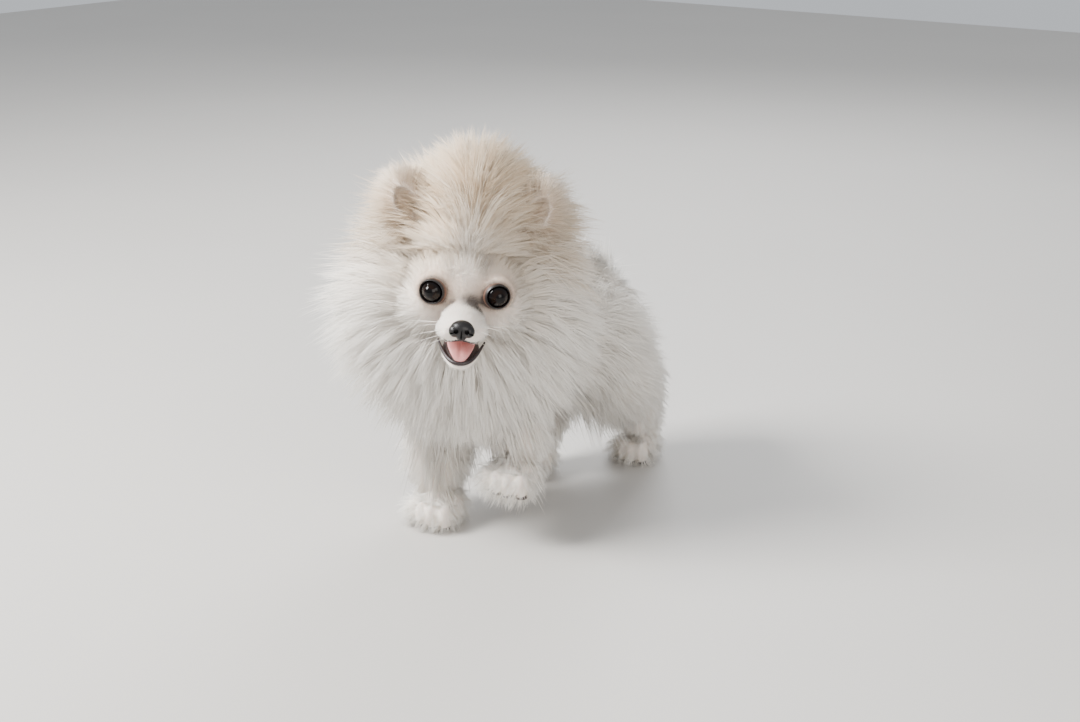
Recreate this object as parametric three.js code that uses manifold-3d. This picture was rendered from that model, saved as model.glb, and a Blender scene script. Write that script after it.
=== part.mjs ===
// A young pomeranian, life size, as a still model in one mid-step pose: it stands on its right
// forefoot and both hind feet, lifts its left forefoot, and turns its head to its own left.
// Millimetres, +Z up, -Y the way the body faces, +X the dog's left side.
// Every part is a group of overlapping ellipsoids. Where the coat is long, they give the outline
// out to the tips of the hair: a smaller core stands in them, and flat tapered locks rise from
// the core and lie over one another along the lie of the coat, with their tips on that outline.
import * as THREE from "three";
import { mergeVertices } from "three/addons/utils/BufferGeometryUtils.js";
import Module from "manifold-3d";

const wasm = await Module();
wasm.setup();
const rad = THREE.MathUtils.degToRad;

// Driving dimensions
const GAP = 0.4; // air between neighbouring parts
const HEAD_AT = [26, -37, 191]; // middle of the skull, level with the eyes
const HEAD_YAW = 37; // degrees the head turns to the dog's left
const HEAD_ROLL = 5; // degrees the left side of the head hangs lower
const EYE_AT = [21, -24, 0]; // left eye's centre in the head's own frame
const EYE_RADIUS = 7.8;
const EYE_OPENING = 6.6; // radius of the opening between the lids
const EYE_SPLAY = 18; // degrees each eye looks outwards
const LID = 1.8; // how far the lids stand off the eyeball
const NOSE_AT = [0, -56, -15];
const NOSE_RADII = [7.8, 6, 6.2];
const EAR_AT = [44, 12, 50];
const EAR_RADII = [13, 8, 18];
const EAR_LEAN = 24; // degrees each ear leans outwards
const RIGHT_FOREFOOT = [-13, -24];
const LEFT_FOREFOOT = [47, -14];
const LEFT_HINDFOOT = [38, 164];
const RIGHT_HINDFOOT = [-12, 90];
const RAISED = 36; // height of the lifted paw's underside
const TRUNK_YAW = -9; // degrees the trunk bends, its rear to the dog's left
const CORE = 0.68; // how far out a core reaches, as a part of its outline
const SINK = 10; // how deep a lock's root stands in its core
const LOCK_FLATNESS = 0.2; // a lock's thickness as a part of its width
const SEED = 7;

// A geometry with its shared vertices merged and only its positions left.
function bare(geometry) {
  const copy = geometry.clone();
  copy.deleteAttribute("normal");
  copy.deleteAttribute("uv");
  return mergeVertices(copy, 1e-4);
}

// A manifold solid from a closed three.js geometry.
function solid(geometry) {
  const merged = bare(geometry);
  return new wasm.Manifold(
    new wasm.Mesh({
      numProp: 3,
      vertProperties: new Float32Array(merged.attributes.position.array),
      triVerts: new Uint32Array(merged.index.array),
    }),
  );
}

// The same closed geometry with each face moved outwards by at least an amount: every corner
// is pushed along the normals of its own faces until all of them have moved far enough.
const PUSHES = 60;
function inflated(geometry, amount) {
  const merged = bare(geometry);
  const { position } = merged.attributes;
  const index = merged.index.array;
  const corner = (k) => new THREE.Vector3().fromBufferAttribute(position, k);
  const normals = Array.from({ length: position.count }, () => []);
  for (let k = 0; k < index.length; k += 3) {
    const three = [index[k], index[k + 1], index[k + 2]];
    const face = new THREE.Triangle(...three.map(corner));
    if (face.getArea() > 1e-9) {
      const normal = face.getNormal(new THREE.Vector3());
      for (const v of three) normals[v].push(normal);
    }
  }
  const pushed = normals.map((around, k) => {
    const move = new THREE.Vector3();
    for (let n = 0; n < PUSHES; n++) {
      for (const normal of around) {
        move.addScaledVector(normal, Math.max(0, amount - move.dot(normal)));
      }
    }
    return corner(k).add(move);
  });
  pushed.forEach((p, k) => position.setXYZ(k, p.x, p.y, p.z));
  return merged;
}

// The body's own frame is the model's; the head is turned and tipped in it.
const bodyFrame = new THREE.Matrix4();
const headFrame = new THREE.Matrix4()
  .makeTranslation(...HEAD_AT)
  .multiply(new THREE.Matrix4().makeRotationZ(rad(HEAD_YAW)))
  .multiply(new THREE.Matrix4().makeRotationY(rad(HEAD_ROLL)));

// One ellipsoid: centre, radii, its turns about Z (yaw), X (pitch) and Y (lean) in degrees, how
// finely it is faceted, and for long coat its locks and the lie they follow.
const form = (at, radii, options = {}) => ({ at, radii, ...options });

// The matrix that carries the unit sphere onto a form, scaled and grown.
function placing({ at, radii, yaw = 0, pitch = 0, lean = 0 }, frame, scale, grow) {
  const turn = new THREE.Matrix4().makeRotationFromEuler(
    new THREE.Euler(rad(pitch), rad(lean), rad(yaw), "ZYX"),
  );
  const [a, b, c] = radii.map((r, k) => r * scale[k] + grow);
  return new THREE.Matrix4()
    .copy(frame)
    .multiply(new THREE.Matrix4().makeTranslation(...at))
    .multiply(turn)
    .multiply(new THREE.Matrix4().makeScale(a, b, c));
}

function ellipsoid(f, frame, grow = 0, scale = [1, 1, 1]) {
  const { fine = 1 } = f;
  const g = new THREE.SphereGeometry(1, Math.round(12 * fine), Math.round(7 * fine));
  g.rotateX(Math.PI / 2);
  return solid(g.applyMatrix4(placing(f, frame, scale, grow)));
}

const blend = (forms, frame, grow = 0) =>
  wasm.Manifold.union(forms.map((f) => ellipsoid(f, frame, grow)));
const grown = (forms, frame) => blend(forms, frame, GAP);

// The same forms on the other side of the middle plane.
const mirrored = (forms) =>
  forms.map((f) => ({
    ...f,
    at: [-f.at[0], f.at[1], f.at[2]],
    yaw: -(f.yaw ?? 0),
    lean: -(f.lean ?? 0),
  }));
const both = (forms) => forms.concat(mirrored(forms));

// Forms in the head's frame
const eye = [form(EYE_AT, [EYE_RADIUS, EYE_RADIUS, EYE_RADIUS])];
const lids = [form(EYE_AT, [EYE_RADIUS + LID, EYE_RADIUS + LID, EYE_RADIUS + LID])];
const nose = [form(NOSE_AT, NOSE_RADII, { fine: 0.8 })];
const jaw = [
  form([0, -27, -38], [14, 22, 6], { pitch: 14, fine: 0.8 }),
  form([0, -40, -42], [9.5, 9, 5], { pitch: 14, fine: 0.7 }),
];
const tongue = [form([0, -32, -32], [9.5, 18, 2.6], { pitch: 16, fine: 0.8 })];
const ear = [form(EAR_AT, EAR_RADII, { lean: EAR_LEAN, fine: 0.85 })];
const earCup = [
  form([EAR_AT[0], EAR_AT[1] - 7, EAR_AT[2] + 1], [9.5, 7, 14], { lean: EAR_LEAN, fine: 0.7 }),
];
const skull = [
  form([0, 0, 0], [28, 30, 27], { fine: 0.9 }),
  form([0, -36, -15], [15, 22, 11], { pitch: 6, fine: 0.9 }),
];
const cheek = [
  form([22, -2, -14], [22, 22, 22], { fine: 0.8 }),
  form([7, -42, -19], [9, 12, 7.5], { pitch: 6, fine: 0.8 }),
];
const mouth = [form([0, -38, -31.5], [17, 24, 6], { pitch: 17 })];

// The lie of the coat: the direction the hair runs at a point of the unit sphere.
const lies = {
  fromFace: () => [0, 1, 0.15],
  crown: ([x, , z]) => [0.7 * x, 0.9, 0.5 - 0.4 * z],
  back: ([, , z]) => [0, 1, -0.35 - 0.3 * Math.max(0, -z)],
  down: () => [0, 0.25, -1],
  plume: ([x]) => [1.2 * x - 0.2, -1, 0.1],
};

// Long-coated forms: locks is how many would cover the whole form, and width is that of one lock.
const crown = [
  form([4, 25, 54], [45, 44, 44], { locks: 20, width: 38, lie: lies.crown, sweep: 36 }),
  form([0, 6, 24], [42, 32, 32], { locks: 16, width: 34, lie: lies.crown, sweep: 34 }),
];
const earFur = [
  form([46, 22, 47], [21, 17, 27], { locks: 5, width: 27, lie: lies.crown, sweep: 32 }),
];
const ruff = [
  form([-2, 25, -31], [101, 54, 92], { locks: 46, width: 56, lie: lies.fromFace, sweep: 28 }),
  form([2, 40, 20], [84, 48, 62], { locks: 22, width: 54, lie: lies.fromFace, sweep: 30 }),
];
const turned = { yaw: TRUNK_YAW };
const trunk = [
  form([-2, -2, 110], [66, 56, 50], { ...turned, locks: 22, width: 48, lie: lies.down, sweep: 36 }),
  form([8, 62, 118], [54, 64, 53], { ...turned, locks: 26, width: 48, lie: lies.back, sweep: 36 }),
];
const rump = [
  form([19, 118, 108], [58, 54, 54], { ...turned, locks: 24, width: 46, lie: lies.back, sweep: 36 }),
  form([43, 128, 82], [30, 42, 46], { ...turned, locks: 12, width: 40, lie: lies.down, sweep: 38 }),
  form([-8, 114, 82], [29, 42, 46], { ...turned, locks: 12, width: 40, lie: lies.down, sweep: 38 }),
];
const tail = [
  form([14, 154, 140], [18, 19, 21], { locks: 3, width: 28, lie: lies.plume, sweep: 34 }),
  form([2, 136, 157], [24, 25, 23], { locks: 5, width: 32, lie: lies.plume, sweep: 36 }),
  form([-8, 108, 169], [31, 34, 26], { locks: 7, width: 37, lie: lies.plume, sweep: 38 }),
  form([-12, 76, 175], [28, 30, 25], { locks: 7, width: 34, lie: lies.plume, sweep: 42 }),
];
const legCoat = { locks: 8, width: 29, lie: lies.down, sweep: 36, core: [0.72, 0.72, 0.96] };
const legs = {
  front_leg_right: [
    form([-31, 0, 86], [32, 31, 42], { ...legCoat, locks: 11, width: 36 }),
    form([-24, -12, 48], [30, 27, 37], legCoat),
  ],
  front_leg_left: [
    form([34, 10, 98], [26, 28, 34], legCoat),
    form([42, 4, 72], [25, 26, 24], legCoat),
  ],
  hind_leg_right: [
    form([-10, 110, 56], [23, 26, 34], legCoat),
    form([-12, 103, 30], [17, 19, 21], { ...legCoat, locks: 5, width: 22 }),
  ],
  hind_leg_left: [
    form([41, 156, 62], [25, 28, 40], legCoat),
    form([38, 174, 32], [17, 20, 22], { ...legCoat, locks: 5, width: 22 }),
  ],
};

// A paw: four toes side by side in front of one round pad.
const pawForms = ([x, y], width, length, sole) =>
  [-1.5, -0.5, 0.5, 1.5]
    .map((toe) =>
      form(
        [x + toe * width * 0.4, y - length * (0.6 - 0.14 * Math.abs(toe)), sole + 10],
        [width * 0.32, length * 0.42, 13],
        { fine: 0.6 },
      ),
    )
    .concat(form([x, y + length * 0.2, sole + 12], [width, length * 0.8, 16], { fine: 0.7 }));
const paws = {
  front_paw_right: pawForms(RIGHT_FOREFOOT, 22, 24, 0),
  front_paw_left: pawForms(LEFT_FOREFOOT, 23, 22, RAISED),
  hind_paw_right: pawForms(RIGHT_HINDFOOT, 18, 24, 0),
  hind_paw_left: pawForms(LEFT_HINDFOOT, 18, 24, 0),
};

// Seeded random numbers from 0 to 1.
function dice(seed) {
  let state = seed;
  return () => {
    state = (state * 16807) % 2147483647;
    return state / 2147483647;
  };
}

// Points spread evenly over the unit sphere.
const spread = (count) =>
  Array.from({ length: count }, (_, k) => {
    const z = 1 - (2 * k + 1) / count;
    const turn = k * Math.PI * (3 - Math.sqrt(5));
    const r = Math.sqrt(1 - z * z);
    return new THREE.Vector3(r * Math.cos(turn), r * Math.sin(turn), z);
  });

// The locks of one form: each has a root in the core, a bend, and a tip on the outline.
function locksOf(f, frame, random) {
  const core = placing(f, frame, f.core ?? [CORE, CORE, CORE], 0);
  const outline = placing(f, frame, [1, 1, 1], 0);
  const centre = new THREE.Vector3().setFromMatrixPosition(core);
  return spread(f.locks).map((start) => {
    const u = start.clone();
    const lie = new THREE.Vector3(...f.lie(u.toArray()));
    lie.x += (random() - 0.5) * 0.3;
    lie.z += (random() - 0.5) * 0.3;
    lie.addScaledVector(u, -lie.dot(u)).normalize();
    const sweep = rad(f.sweep * (0.85 + 0.3 * random()));
    const along = (angle) =>
      u.clone().multiplyScalar(Math.cos(angle)).addScaledVector(lie, Math.sin(angle));
    const foot = u.clone().applyMatrix4(core);
    const inward = centre.clone().sub(foot).setLength(SINK);
    const root = foot.clone().add(inward);
    const bend = along(sweep * 0.45).multiplyScalar(0.97 + 0.05 * random()).applyMatrix4(outline);
    const tip = along(sweep).multiplyScalar(0.97 + 0.05 * random()).applyMatrix4(outline);
    const width = f.width * (0.85 + 0.3 * random());
    const side = new THREE.Vector3().crossVectors(tip.clone().sub(foot), inward).normalize();
    return { root, bend, tip, width, side };
  });
}

// One lock as a flattened cone bent along its curve, wide in the middle and pointed at the tip.
function lockSolid({ root, bend, tip, width, side }, grow = 0) {
  const curve = new THREE.QuadraticBezierCurve3(root, bend, tip);
  const g = new THREE.ConeGeometry(1, 1, 4, 2);
  const places = g.attributes.position;
  for (let k = 0; k < places.count; k++) {
    const t = Math.min(1, Math.max(0, places.getY(k) + 0.5));
    const along = curve.getTangent(t);
    const face = new THREE.Vector3().crossVectors(side, along).normalize();
    const across = t > 0.99 ? 0 : (width / 2) * (0.8 + 0.8 * t - 1.2 * t * t);
    const taper = Math.max(1 - t, 1e-6);
    const [a, b] = [places.getX(k) / taper, places.getZ(k) / taper];
    const at = curve.getPoint(t);
    if (t <= 0.99) {
      at.addScaledVector(side, a * across);
      at.addScaledVector(face, b * across * LOCK_FLATNESS * 2);
    }
    places.setXYZ(k, at.x, at.y, at.z);
  }
  return solid(grow ? inflated(g, grow) : g);
}

// Which of a group's locks show: the rest would start or end inside another core or form.
function shownLocks(forms, frame, hiders, bare = () => false) {
  const random = dice(SEED);
  const inverses = hiders.map(([f, fr, scale]) => placing(f, fr, scale, 0).invert());
  const hidden = (p) => inverses.some((m) => p.clone().applyMatrix4(m).length() < 1);
  return forms.flatMap((f) => {
    const others = forms
      .filter((g) => g !== f && g.locks)
      .map((g) => placing(g, frame, [0.86, 0.86, 0.86], 0).invert());
    const inOthers = (p) => others.some((m) => p.clone().applyMatrix4(m).length() < 1);
    return locksOf(f, frame, random).filter(
      (l) => !hidden(l.tip) && !hidden(l.bend) && !inOthers(l.tip) && !bare(l),
    );
  });
}

const cores = (forms, frame, grow = 0) =>
  wasm.Manifold.union(forms.map((f) => ellipsoid(f, frame, grow, f.core ?? [CORE, CORE, CORE])));
const furred = (forms, frame, locks, grow = 0) =>
  cores(forms, frame, grow).add(wasm.Manifold.union(locks.map((l) => lockSolid(l, grow))));

// Cutters
const floor = solid(new THREE.BoxGeometry(800, 800, 200).translate(0, 0, -100));
const faceBowl = form([0, -62, -10], [50, 57, 56]);
const lidOpening = (side) => {
  const g = new THREE.CylinderGeometry(EYE_OPENING + 2.5, EYE_OPENING - 1, 12, 14);
  g.rotateX(-Math.PI / 2);
  g.scale(1, 1, 0.86);
  g.translate(0, -EYE_RADIUS - 3.4, 0);
  g.rotateZ(rad(side * EYE_SPLAY));
  g.translate(side * EYE_AT[0], EYE_AT[1], EYE_AT[2]);
  return solid(g.applyMatrix4(headFrame));
};
const nostril = form([3.6, NOSE_AT[1] - 5.4, NOSE_AT[2] + 0.2], [1.9, 2.6, 1.5], { lean: 25, fine: 0.6 });

// What stays of a body after cutting: its largest closed surface, without needless vertices.
const FINEST = 0.15;
function minus(body, ...cutters) {
  const rest = cutters.reduce((left, cutter) => left.subtract(cutter), body);
  return rest
    .simplify(FINEST)
    .decompose()
    .sort((a, b) => b.volume() - a.volume())[0];
}

const built = {};
built.eye_left = blend(eye, headFrame);
built.eye_right = blend(mirrored(eye), headFrame);
built.nose = minus(blend(nose, headFrame), blend(both([nostril]), headFrame));
built.ear_left = minus(blend(ear, headFrame), blend(earCup, headFrame));
built.ear_right = minus(blend(mirrored(ear), headFrame), blend(mirrored(earCup), headFrame));
built.tongue = blend(tongue, headFrame);
built.lower_jaw = minus(blend(jaw, headFrame), grown(tongue, headFrame));

const face = [...skull, ...both(cheek), ...both(lids)];
const longHead = [...crown, ...both(earFur)];
const at = (forms, frame, size) => forms.map((f) => [f, frame, [size, size, size]]);
const headLocks = shownLocks(longHead, headFrame, [
  ...at([...skull, ...both(ear)], headFrame, 1),
  ...at(ruff, headFrame, 0.86),
]);
const headSolid = (grow) =>
  blend(face, headFrame, grow).add(furred(longHead, headFrame, headLocks, grow));
built.head = minus(
  headSolid(0),
  grown(both(eye), headFrame),
  grown(nose, headFrame),
  grown(both(ear), headFrame),
  blend(both(earCup), headFrame),
  blend(mouth, headFrame),
  grown(jaw, headFrame),
  grown(tongue, headFrame),
  lidOpening(1),
  lidOpening(-1),
);

const neckLocks = shownLocks(ruff, headFrame, [
  ...at([...face, ...both(ear), ...jaw, faceBowl], headFrame, 1),
  ...at(longHead, headFrame, 0.85),
  ...at(trunk, bodyFrame, 0.75),
]);
built.neck = minus(
  furred(ruff, headFrame, neckLocks),
  headSolid(GAP),
  grown(jaw, headFrame),
  grown(both(ear), headFrame),
  blend(both(earCup), headFrame),
);

for (const [name, forms] of Object.entries(paws)) {
  built[name] = minus(blend(forms, bodyFrame), floor);
}
const allPaws = Object.values(paws).flat();
const neckGrown = furred(ruff, headFrame, neckLocks, GAP);
let legsGrown = grown(allPaws, bodyFrame);
for (const [name, forms] of Object.entries(legs)) {
  const locks = shownLocks(forms, bodyFrame, [
    ...at(allPaws, bodyFrame, 0.8),
    ...at([...trunk, ...rump], bodyFrame, 0.9),
    ...at(ruff, headFrame, 0.85),
  ]);
  built[name] = minus(
    furred(forms, bodyFrame, locks),
    grown(allPaws, bodyFrame),
    neckGrown,
    floor,
  );
  legsGrown = legsGrown.add(furred(forms, bodyFrame, locks, GAP));
}

const trunkLocks = shownLocks(trunk, bodyFrame, [
  ...at(ruff, headFrame, 0.8),
  ...at(rump, bodyFrame, 0.74),
  ...at(Object.values(legs).flat(), bodyFrame, 0.75),
]);
built.torso = minus(furred(trunk, bodyFrame, trunkLocks), neckGrown, legsGrown);
const trunkGrown = furred(trunk, bodyFrame, trunkLocks, GAP);

const rumpLocks = shownLocks(rump, bodyFrame, [
  ...at(trunk, bodyFrame, 0.8),
  ...at(Object.values(legs).flat(), bodyFrame, 0.75),
]);
built.hindquarters = minus(furred(rump, bodyFrame, rumpLocks), trunkGrown, legsGrown, neckGrown);

const tailLocks = shownLocks(tail, bodyFrame, [
  ...at([...rump, ...trunk], bodyFrame, 0.9),
  ...at(ruff, headFrame, 0.9),
]);
built.tail = minus(
  furred(tail, bodyFrame, tailLocks),
  furred(rump, bodyFrame, rumpLocks, GAP),
  trunkGrown,
  neckGrown,
);

// Looks
const COAT = { color: 0xece4d6, roughness: 0.95 };
const WHITE = { color: 0xf6f3ec, roughness: 0.95 };
const DARK = { color: 0x15110f, roughness: 0.15 };
const LEATHER = { color: 0x1d1a1a, roughness: 0.45 };
const PINK = { color: 0xc9777b, roughness: 0.5 };
const looks = { eye_left: DARK, eye_right: DARK, nose: LEATHER, tongue: PINK };
const pale = /paw|jaw|ear/;

const dog = new THREE.Group();
for (const [name, body] of Object.entries(built)) {
  const mesh = body.getMesh();
  const geometry = new THREE.BufferGeometry();
  geometry.setAttribute("position", new THREE.BufferAttribute(mesh.vertProperties, 3));
  geometry.setIndex(new THREE.BufferAttribute(mesh.triVerts, 1));
  const look = looks[name] ?? (pale.test(name) ? WHITE : COAT);
  const part = new THREE.Mesh(geometry, new THREE.MeshStandardMaterial({ metalness: 0, ...look }));
  part.name = name;
  dog.add(part);
}

// The origin goes to the middle of the footprint, on the floor.
const box = new THREE.Box3().setFromObject(dog);
dog.position.set(-(box.min.x + box.max.x) / 2, -(box.min.y + box.max.y) / 2, 0);

export default dog;
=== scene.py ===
"""A young pomeranian, life size, as a still museum model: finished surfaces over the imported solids."""

import math

import bpy
import numpy as np
from mathutils import Matrix, Vector
from mathutils.bvhtree import BVHTree
from mathutils.kdtree import KDTree


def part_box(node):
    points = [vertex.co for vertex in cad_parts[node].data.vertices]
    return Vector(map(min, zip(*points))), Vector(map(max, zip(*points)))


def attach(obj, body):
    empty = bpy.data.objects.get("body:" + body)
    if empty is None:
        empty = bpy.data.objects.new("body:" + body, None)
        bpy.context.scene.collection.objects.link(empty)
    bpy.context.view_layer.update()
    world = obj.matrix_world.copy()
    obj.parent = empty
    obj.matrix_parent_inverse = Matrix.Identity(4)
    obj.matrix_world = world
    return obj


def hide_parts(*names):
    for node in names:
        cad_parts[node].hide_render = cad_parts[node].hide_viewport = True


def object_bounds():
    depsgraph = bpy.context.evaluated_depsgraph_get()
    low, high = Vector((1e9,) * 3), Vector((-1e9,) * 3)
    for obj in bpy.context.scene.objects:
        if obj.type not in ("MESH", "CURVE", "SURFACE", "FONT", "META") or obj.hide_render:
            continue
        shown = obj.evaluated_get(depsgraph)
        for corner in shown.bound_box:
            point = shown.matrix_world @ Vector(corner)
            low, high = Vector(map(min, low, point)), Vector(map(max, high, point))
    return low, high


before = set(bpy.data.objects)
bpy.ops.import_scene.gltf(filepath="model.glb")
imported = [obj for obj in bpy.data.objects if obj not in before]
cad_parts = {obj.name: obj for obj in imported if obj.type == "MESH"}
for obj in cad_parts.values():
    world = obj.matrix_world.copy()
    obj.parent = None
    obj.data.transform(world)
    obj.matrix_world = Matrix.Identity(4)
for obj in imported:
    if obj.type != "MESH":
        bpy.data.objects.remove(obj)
cad_box = [list(corner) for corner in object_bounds()]

# Where the dog stands. Its forms are laid out in millimetres from a point on the floor under the
# chest, facing -Y with +X on its left. The head is turned and tipped about the middle of the
# skull. The left eye's solid says where that layout lies in the frame.
MM = 0.001
HEAD_AT = Vector((26, -37, 191))
HEAD_YAW = math.radians(37)
HEAD_ROLL = math.radians(5)
EYE_AT = Vector((21, -24, 0))
EYE_RADIUS = 7.8
head_turn = Matrix.Rotation(HEAD_YAW, 4, "Z") @ Matrix.Rotation(HEAD_ROLL, 4, "Y")
head_local = Matrix.Translation(HEAD_AT) @ head_turn
eye_low, eye_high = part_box("eye_left")
shift = (eye_low + eye_high) / 2 / MM - head_local @ EYE_AT
body_place = Matrix.Scale(MM, 4) @ Matrix.Translation(shift)
head_place = body_place @ head_local


def side_of(point, side):
    """The point on the dog's left (1) or mirrored onto its right (-1)."""
    return Vector((side * point[0], point[1], point[2]))


# The view of the photograph: a long lens, a little above the dog, in front and to its left.
CAMERA_AT = Vector((663, -829, 485))
VIEW_DOWN = math.radians(19)
VIEW_TURN = math.radians(36)
FOCAL_PIXELS = 1570
IMAGE_WIDTH = 1080
SENSOR_MM = 36
bpy.ops.object.camera_add(
    location=body_place @ CAMERA_AT, rotation=(math.pi / 2 - VIEW_DOWN, 0, VIEW_TURN)
)
camera = bpy.context.object
camera.data.lens = FOCAL_PIXELS / IMAGE_WIDTH * SENSOR_MM
camera.data.sensor_width = SENSOR_MM
camera.data.clip_start = 0.01
bpy.context.scene.camera = camera


# Materials are written as expressions on sockets: Knob wraps a socket and adds Math nodes, and
# node() adds any other node, its settings first and then the values or links of its sockets. A
# socket is given by its name, or by its number after an underscore.
class Knob:
    def __init__(self, tree, socket):
        self.tree = tree
        self.socket = socket

    def math(self, operation, *others, flip=False):
        n = self.tree.nodes.new("ShaderNodeMath")
        n.operation = operation
        operands = [self, *others]
        if flip:
            operands.reverse()
        for at, value in enumerate(operands):
            plug(self.tree, n.inputs[at], value)
        return Knob(self.tree, n.outputs[0])

    def __add__(self, other):
        return self.math("ADD", other)

    def __radd__(self, other):
        return self.math("ADD", other)

    def __sub__(self, other):
        return self.math("SUBTRACT", other)

    def __rsub__(self, other):
        return self.math("SUBTRACT", other, flip=True)

    def __mul__(self, other):
        return self.math("MULTIPLY", other)

    def __rmul__(self, other):
        return self.math("MULTIPLY", other)


def plug(tree, target, value):
    """Links or sets one socket."""
    if isinstance(value, Knob):
        tree.links.new(value.socket, target)
    else:
        target.default_value = value


class Finish:
    """A material under way."""

    def __init__(self, name):
        self.material = bpy.data.materials.new(name)
        self.material.use_nodes = True
        self.tree = self.material.node_tree
        self.shader = self.tree.nodes["Principled BSDF"]

    def node(self, kind, settings=None, output=0, **sockets):
        n = self.tree.nodes.new(kind)
        for key, value in (settings or {}).items():
            if key == "stops":
                ramp = n.color_ramp
                while len(ramp.elements) < len(value):
                    ramp.elements.new(0.5)
                for element, (place, colour) in zip(ramp.elements, value):
                    element.position = place
                    element.color = colour
            else:
                setattr(n, key, value)
        for key, value in sockets.items():
            at = int(key[1:]) if key[0] == "_" else key.replace("_", " ")
            plug(self.tree, n.inputs[at], value)
        return Knob(self.tree, n.outputs[output])

    def mix(self, amount, first, second):
        return self.node(
            "ShaderNodeMix", {"data_type": "RGBA"}, 2, _0=amount, _6=first, _7=second
        )

    def place(self):
        return self.node("ShaderNodeTexCoord", output=3)

    def noise(self, scale, detail=3.0, roughness=0.5):
        return self.node(
            "ShaderNodeTexNoise", Vector=self.place(), Scale=scale, Detail=detail,
            Roughness=roughness,
        )

    def attribute(self, name, output=0):
        return self.node("ShaderNodeAttribute", {"attribute_name": name}, output)

    def set(self, **sockets):
        for key, value in sockets.items():
            plug(self.tree, self.shader.inputs[key.replace("_", " ")], value)
        return self

    def bump(self, height, strength, distance):
        n = self.node("ShaderNodeBump", Height=height, Strength=strength, Distance=distance)
        return self.set(Normal=n)


# The stage: a plain pale floor under soft daylight, with one large window-like lamp on the
# viewer's left, a weaker one on the right and a third behind that rims the coat.
FLOOR_SIZE = 6
bpy.ops.object.select_all(action="DESELECT")
bpy.ops.mesh.primitive_plane_add(size=FLOOR_SIZE, location=(0, 0, 0))
floor = bpy.context.object
floor.name = "floor"
floor_paint = Finish("floor_paint")
floor_paint.set(
    Base_Color=floor_paint.mix(
        floor_paint.noise(3), (0.52, 0.50, 0.475, 1), (0.56, 0.54, 0.51, 1)
    ),
    Roughness=0.55,
)
floor.data.materials.append(floor_paint.material)

LAMPS = [
    ("window", (-0.85, -0.95, 1.25), 0.7, 92, (1.0, 0.99, 0.97)),
    ("room", (1.35, -0.65, 0.75), 1.0, 14, (1.0, 0.95, 0.88)),
    ("rim", (-0.5, 1.3, 1.2), 0.8, 20, (0.95, 0.97, 1.0)),
]
for lamp_name, lamp_at, lamp_size, power, tint in LAMPS:
    aim = Vector((0, 0, 0.12)) - Vector(lamp_at)
    bpy.ops.object.light_add(
        type="AREA", location=lamp_at, rotation=aim.to_track_quat("-Z", "Y").to_euler()
    )
    lamp = bpy.context.object
    lamp.name = lamp_name
    lamp.data.size = lamp_size
    lamp.data.energy = power
    lamp.data.color = tint
sky = bpy.data.worlds.new("soft_room")
sky.use_nodes = True
sky.node_tree.nodes["Background"].inputs["Color"].default_value = (0.86, 0.9, 0.95, 1)
sky.node_tree.nodes["Background"].inputs["Strength"].default_value = 0.7
bpy.context.scene.world = sky


# The body under the coat: one bare skin over the flesh, from the muzzle to the tail, with hollows
# for the eyes, the nose and the mouth. It is joined from balls, smoothed and then cut. The
# functions that shape it also shape the pieces after it.
def start_ball(matrix, segments=32, rings=18):
    """A new ball of radius 1, placed by a matrix, selected alone."""
    bpy.ops.object.select_all(action="DESELECT")
    bpy.ops.mesh.primitive_uv_sphere_add(segments=segments, ring_count=rings, radius=1)
    ball = bpy.context.object
    ball.data.transform(matrix)
    return ball


def turned_scale(at, radii, yaw=0, pitch=0, lean=0):
    """The matrix that carries a ball of radius 1 onto one of the dog's forms."""
    turn = (
        Matrix.Rotation(math.radians(yaw), 4, "Z")
        @ Matrix.Rotation(math.radians(lean), 4, "Y")
        @ Matrix.Rotation(math.radians(pitch), 4, "X")
    )
    return Matrix.Translation(Vector(at)) @ turn @ Matrix.Diagonal((*radii, 1))


def select_alone(piece):
    bpy.ops.object.select_all(action="DESELECT")
    piece.select_set(True)
    bpy.context.view_layer.objects.active = piece


def join(pieces, name):
    """Joins pieces into the first and names it."""
    bpy.ops.object.select_all(action="DESELECT")
    for piece in pieces:
        piece.select_set(True)
    bpy.context.view_layer.objects.active = pieces[0]
    if len(pieces) > 1:
        bpy.ops.object.join()
    pieces[0].name = name
    pieces[0].data.name = name
    return pieces[0]


def modify(piece, kind, **settings):
    """Adds one modifier and applies it."""
    select_alone(piece)
    modifier = piece.modifiers.new(kind.title(), kind)
    for key, value in settings.items():
        setattr(modifier, key, value)
    bpy.ops.object.modifier_apply(modifier=modifier.name)


def carve(piece, cutter):
    """Cuts one mesh out of another and removes it."""
    modify(piece, "BOOLEAN", operation="DIFFERENCE", object=cutter, solver="EXACT")
    bpy.data.objects.remove(cutter)


def smooth_shade(piece):
    select_alone(piece)
    bpy.ops.object.shade_smooth()


def unwrap(piece, margin):
    """Cuts a piece into triangles, lays its surface out flat and shades it smooth."""
    select_alone(piece)
    bpy.ops.object.mode_set(mode="EDIT")
    bpy.ops.mesh.select_all(action="SELECT")
    bpy.ops.mesh.quads_convert_to_tris()
    bpy.ops.uv.smart_project(angle_limit=math.radians(66), island_margin=margin)
    bpy.ops.object.mode_set(mode="OBJECT")
    smooth_shade(piece)


def finished(piece, finish, slot, *nodes):
    """Gives a finished piece its material and its body, and hides the solids it stands for. The slot is
    not used.
    """
    piece.data.materials.clear()
    piece.data.materials.append(finish.material)
    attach(piece, "root")
    if nodes:
        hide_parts(*nodes)


TRUNK_YAW = -9
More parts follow.
